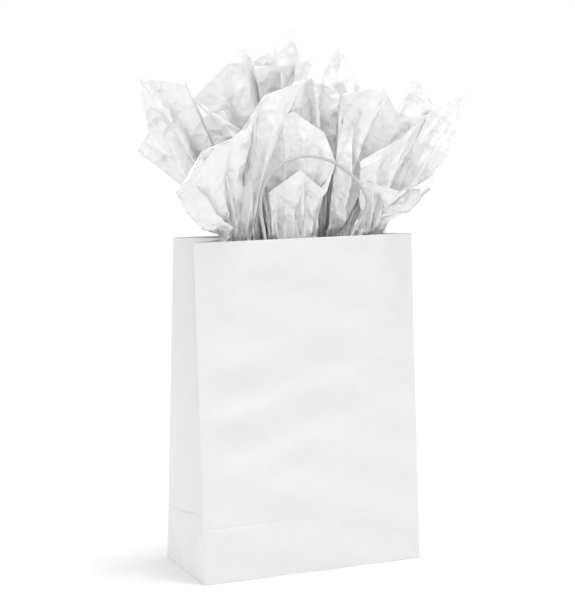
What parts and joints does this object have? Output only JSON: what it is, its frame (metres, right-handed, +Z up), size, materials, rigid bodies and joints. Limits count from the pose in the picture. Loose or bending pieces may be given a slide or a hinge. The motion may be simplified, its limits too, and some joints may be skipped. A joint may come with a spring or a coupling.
{
  "type": "gift bag",
  "caption": "Upright rectangular white paper gift bag with folded gussets, twisted paper cord handles and crumpled tissue paper spreading from its open mouth.",
  "frame": {"origin": "on the floor under the centre of the bag's bottom", "axes": "+Z up, +X to the right along the wide face, -Y out of the front face"},
  "size_m": [0.318, 0.1302, 0.4991],
  "materials": {
    "kraft": "matt uncoated white kraft paper",
    "cord": "twisted paper cord, matt",
    "tissue": "thin crumpled tissue paper with a slight sheen"
  },
  "bodies": {
    "bag": {"front_panel": "kraft", "back_panel": "kraft", "left_gusset_front": "kraft", "left_gusset_rear": "kraft", "left_gusset_base": "kraft", "right_gusset_front": "kraft", "right_gusset_rear": "kraft", "right_gusset_base": "kraft", "seam_lap": "kraft", "bottom_flap_outer": "kraft", "bottom_flap_inner": "kraft", "bottom_tuck_left": "kraft", "bottom_tuck_right": "kraft", "front_patch_outer_ply": "kraft", "front_patch_inner_ply": "kraft", "rear_patch_outer_ply": "kraft", "rear_patch_inner_ply": "kraft", "front_handle_end_left": "cord", "front_handle_end_right": "cord", "rear_handle_end_left": "cord", "rear_handle_end_right": "cord"},
    "front_handle": {"front_handle_loop": "cord"},
    "rear_handle": {"rear_handle_loop": "cord"},
    "tissue_left": {"tissue_left": "tissue"},
    "tissue_front_left": {"tissue_front_left": "tissue"},
    "tissue_front_centre": {"tissue_front_centre": "tissue"},
    "tissue_front_right": {"tissue_front_right": "tissue"},
    "tissue_right": {"tissue_right": "tissue"},
    "tissue_back_right": {"tissue_back_right": "tissue"},
    "tissue_back_left": {"tissue_back_left": "tissue"}
  },
  "joints": [
    {"name": "front_handle_fold", "type": "hinge", "parent": "bag", "child": "front_handle", "pos_m": [0.0075, -0.0231, 0.32], "axis": [1, 0, 0], "range_deg": [0, 130]},
    {"name": "rear_handle_fold", "type": "hinge", "parent": "bag", "child": "rear_handle", "pos_m": [-0.0075, 0.0231, 0.32], "axis": [-1, 0, 0], "range_deg": [0, 115]},
    {"name": "tissue_left_lift", "type": "slide", "parent": "bag", "child": "tissue_left", "axis": [0, 0, 1], "range_m": [0, 0.25]},
    {"name": "tissue_front_left_lift", "type": "slide", "parent": "bag", "child": "tissue_front_left", "axis": [0, 0, 1], "range_m": [0, 0.25]},
    {"name": "tissue_front_centre_lift", "type": "slide", "parent": "bag", "child": "tissue_front_centre", "axis": [0, 0, 1], "range_m": [0, 0.25]},
    {"name": "tissue_front_right_lift", "type": "slide", "parent": "bag", "child": "tissue_front_right", "axis": [0, 0, 1], "range_m": [0, 0.25]},
    {"name": "tissue_right_lift", "type": "slide", "parent": "bag", "child": "tissue_right", "axis": [0, 0, 1], "range_m": [0, 0.25]},
    {"name": "tissue_back_right_lift", "type": "slide", "parent": "bag", "child": "tissue_back_right", "axis": [0, 0, 1], "range_m": [0, 0.25]},
    {"name": "tissue_back_left_lift", "type": "slide", "parent": "bag", "child": "tissue_back_left", "axis": [0, 0, 1], "range_m": [0, 0.25]}
  ]
}
